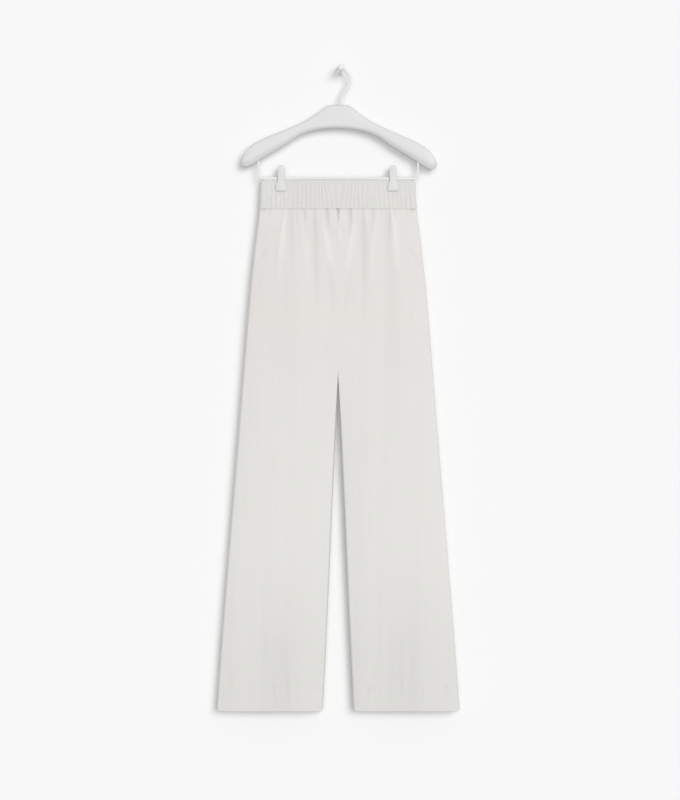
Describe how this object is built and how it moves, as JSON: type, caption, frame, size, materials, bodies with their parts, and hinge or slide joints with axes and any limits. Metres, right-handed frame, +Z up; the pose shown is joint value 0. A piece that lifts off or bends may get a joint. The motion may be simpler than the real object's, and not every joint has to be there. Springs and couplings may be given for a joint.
{
  "type": "jacquard trousers on a clip hanger and wall peg",
  "caption": "Off-white jacquard trousers with a gathered elastic waistband and wide straight legs, held by the clips of a hanger that hangs on a ball-ended wall peg.",
  "frame": {"origin": "centre of the peg's flat back, on the wall", "axes": "+Y into the wall, so the front of the trousers faces -Y; +Z up; +X to the right as seen from the front"},
  "size_m": [0.4872, 0.0491, 1.2924],
  "materials": {
    "cloth": "off-white jacquard, tone on tone, soft matt with a faint sheen",
    "waistband": "the same cloth gathered over elastic",
    "hanger_plastic": "smooth white, satin",
    "coated_wire": "white coated wire",
    "peg_metal": "satin, turned"
  },
  "bodies": {
    "root": {"front_left": "cloth", "front_right": "cloth", "back_left": "cloth", "back_right": "cloth", "waistband_front": "waistband", "waistband_back": "waistband", "hanger": "hanger_plastic", "clip_left_front": "hanger_plastic", "clip_left_back": "hanger_plastic", "clip_right_front": "hanger_plastic", "clip_right_back": "hanger_plastic", "hook": "coated_wire", "clip_bar": "coated_wire", "wall_peg": "peg_metal"}
  },
  "joints": []
}
